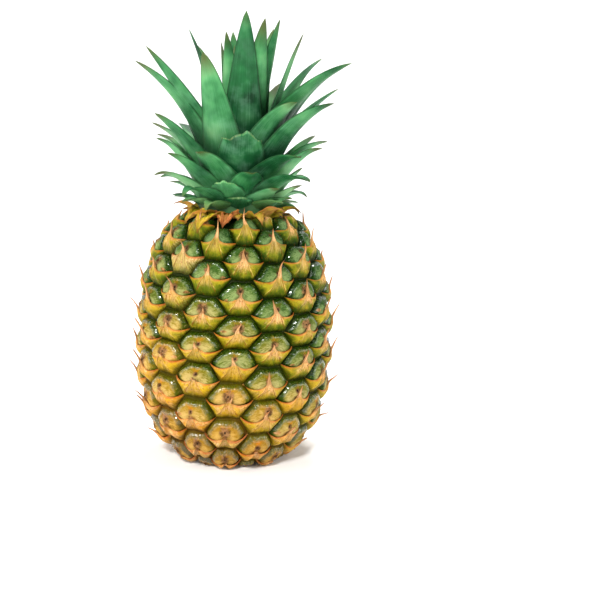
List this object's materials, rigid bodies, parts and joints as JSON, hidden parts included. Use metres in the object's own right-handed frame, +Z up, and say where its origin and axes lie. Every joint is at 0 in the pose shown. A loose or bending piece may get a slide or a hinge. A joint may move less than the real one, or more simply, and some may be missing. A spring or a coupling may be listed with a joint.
{
  "type": "pineapple",
  "caption": "Ripe pineapple standing upright: a barrel-shaped fruit with raised eyes, bracts and spines, a spreading leafy crown and the cut end of its stalk.",
  "frame": {"origin": "centre of the stalk's cut face, on the surface that the fruit stands on", "axes": "+Z up along the fruit from its base to its crown, -Y to the front, +X to the right seen from the front"},
  "size_m": [0.142, 0.1395, 0.2841],
  "materials": {
    "rind": "waxy green to yellow-orange eyes over fibrous tan and yellow-green bracts",
    "leaf": "satin blue-green leaf with a pale bloom, dark margins and brown dry tips",
    "stalk": "dry fibrous cut stalk"
  },
  "bodies": {
    "root": {"fruit": "rind", "crown": "leaf", "stalk": "stalk"}
  },
  "joints": []
}
